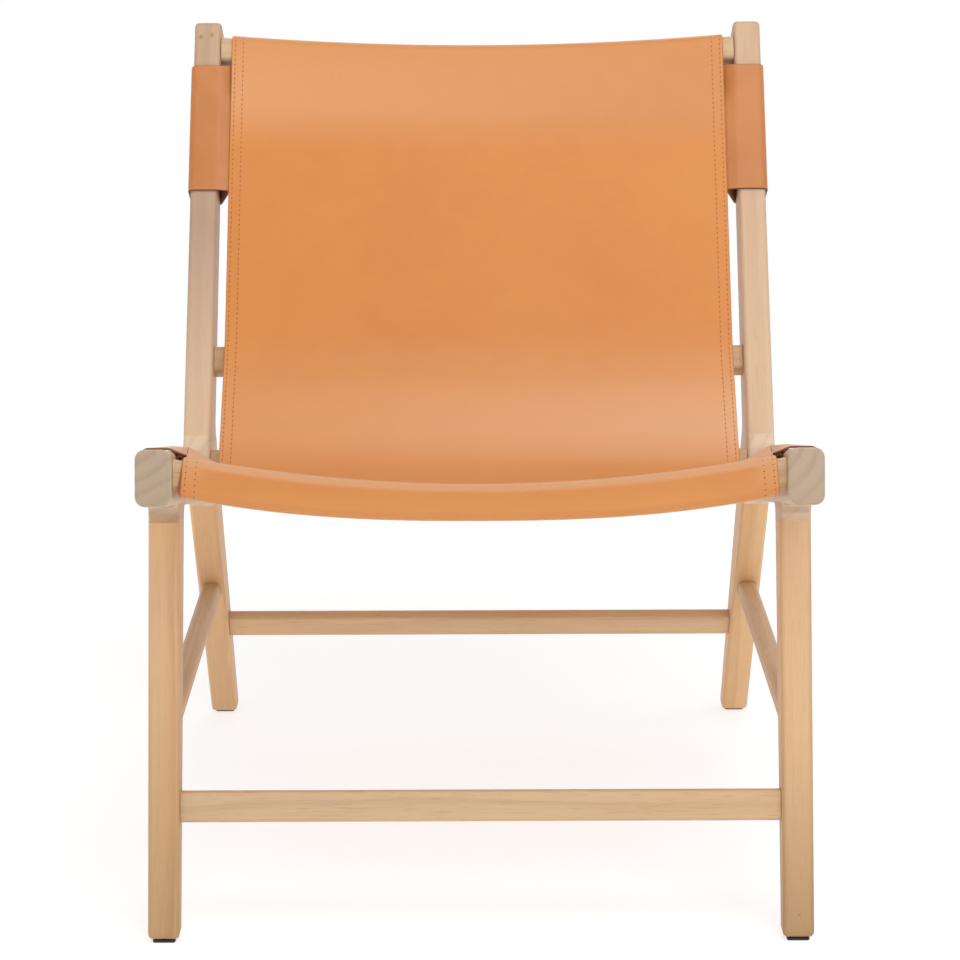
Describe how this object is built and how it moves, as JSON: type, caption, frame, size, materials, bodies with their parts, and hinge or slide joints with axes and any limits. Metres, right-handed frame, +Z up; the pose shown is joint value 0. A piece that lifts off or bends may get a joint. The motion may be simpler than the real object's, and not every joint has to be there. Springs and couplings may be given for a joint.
{
  "type": "sling lounge chair",
  "caption": "Low lounge chair with two sculpted wooden side frames, cross bars and stretchers, and a hanging leather sling held to the frame by wide leather straps.",
  "frame": {"origin": "on the floor under the middle of the chair's bounding box", "axes": "+Z up, the sitter faces -Y, +X to the right of someone who looks at the chair's front"},
  "size_m": [0.6286, 0.7006, 0.7884],
  "materials": {
    "frame_wood": "clear matt finish on a pale streaky wood",
    "dowel_wood": "plain turned dowel",
    "sling_leather": "smooth tan leather with a soft sheen",
    "strap_leather": "smooth tan leather, a little darker",
    "glide_plastic": "matt black",
    "steel": "plain steel"
  },
  "bodies": {
    "root": {"back_post_left": "frame_wood", "back_post_right": "frame_wood", "back_strap_left": "strap_leather", "back_strap_right": "strap_leather", "front_dowel_1_left": "dowel_wood", "front_dowel_1_right": "dowel_wood", "front_dowel_2_left": "dowel_wood", "front_dowel_2_right": "dowel_wood", "front_glide_left": "glide_plastic", "front_glide_right": "glide_plastic", "front_leg_left": "frame_wood", "front_leg_right": "frame_wood", "front_nail_left": "steel", "front_nail_right": "steel", "front_seat_bar": "frame_wood", "front_stretcher": "frame_wood", "mid_back_bar": "frame_wood", "post_dowel_1_left": "dowel_wood", "post_dowel_1_right": "dowel_wood", "post_dowel_2_left": "dowel_wood", "post_dowel_2_right": "dowel_wood", "rear_dowel_1_left": "dowel_wood", "rear_dowel_1_right": "dowel_wood", "rear_dowel_2_left": "dowel_wood", "rear_dowel_2_right": "dowel_wood", "rear_glide_left": "glide_plastic", "rear_glide_right": "glide_plastic", "rear_leg_left": "frame_wood", "rear_leg_right": "frame_wood", "rear_nail_left": "steel", "rear_nail_right": "steel", "rear_seat_bar": "frame_wood", "rear_stretcher": "frame_wood", "seat_rail_left": "frame_wood", "seat_rail_right": "frame_wood", "seat_strap_left": "strap_leather", "seat_strap_right": "strap_leather", "side_stretcher_left": "frame_wood", "side_stretcher_right": "frame_wood", "sling_panel": "sling_leather", "strap_tack_1_left": "steel", "strap_tack_1_right": "steel", "strap_tack_2_left": "steel", "strap_tack_2_right": "steel", "top_back_bar": "frame_wood"}
  },
  "joints": []
}
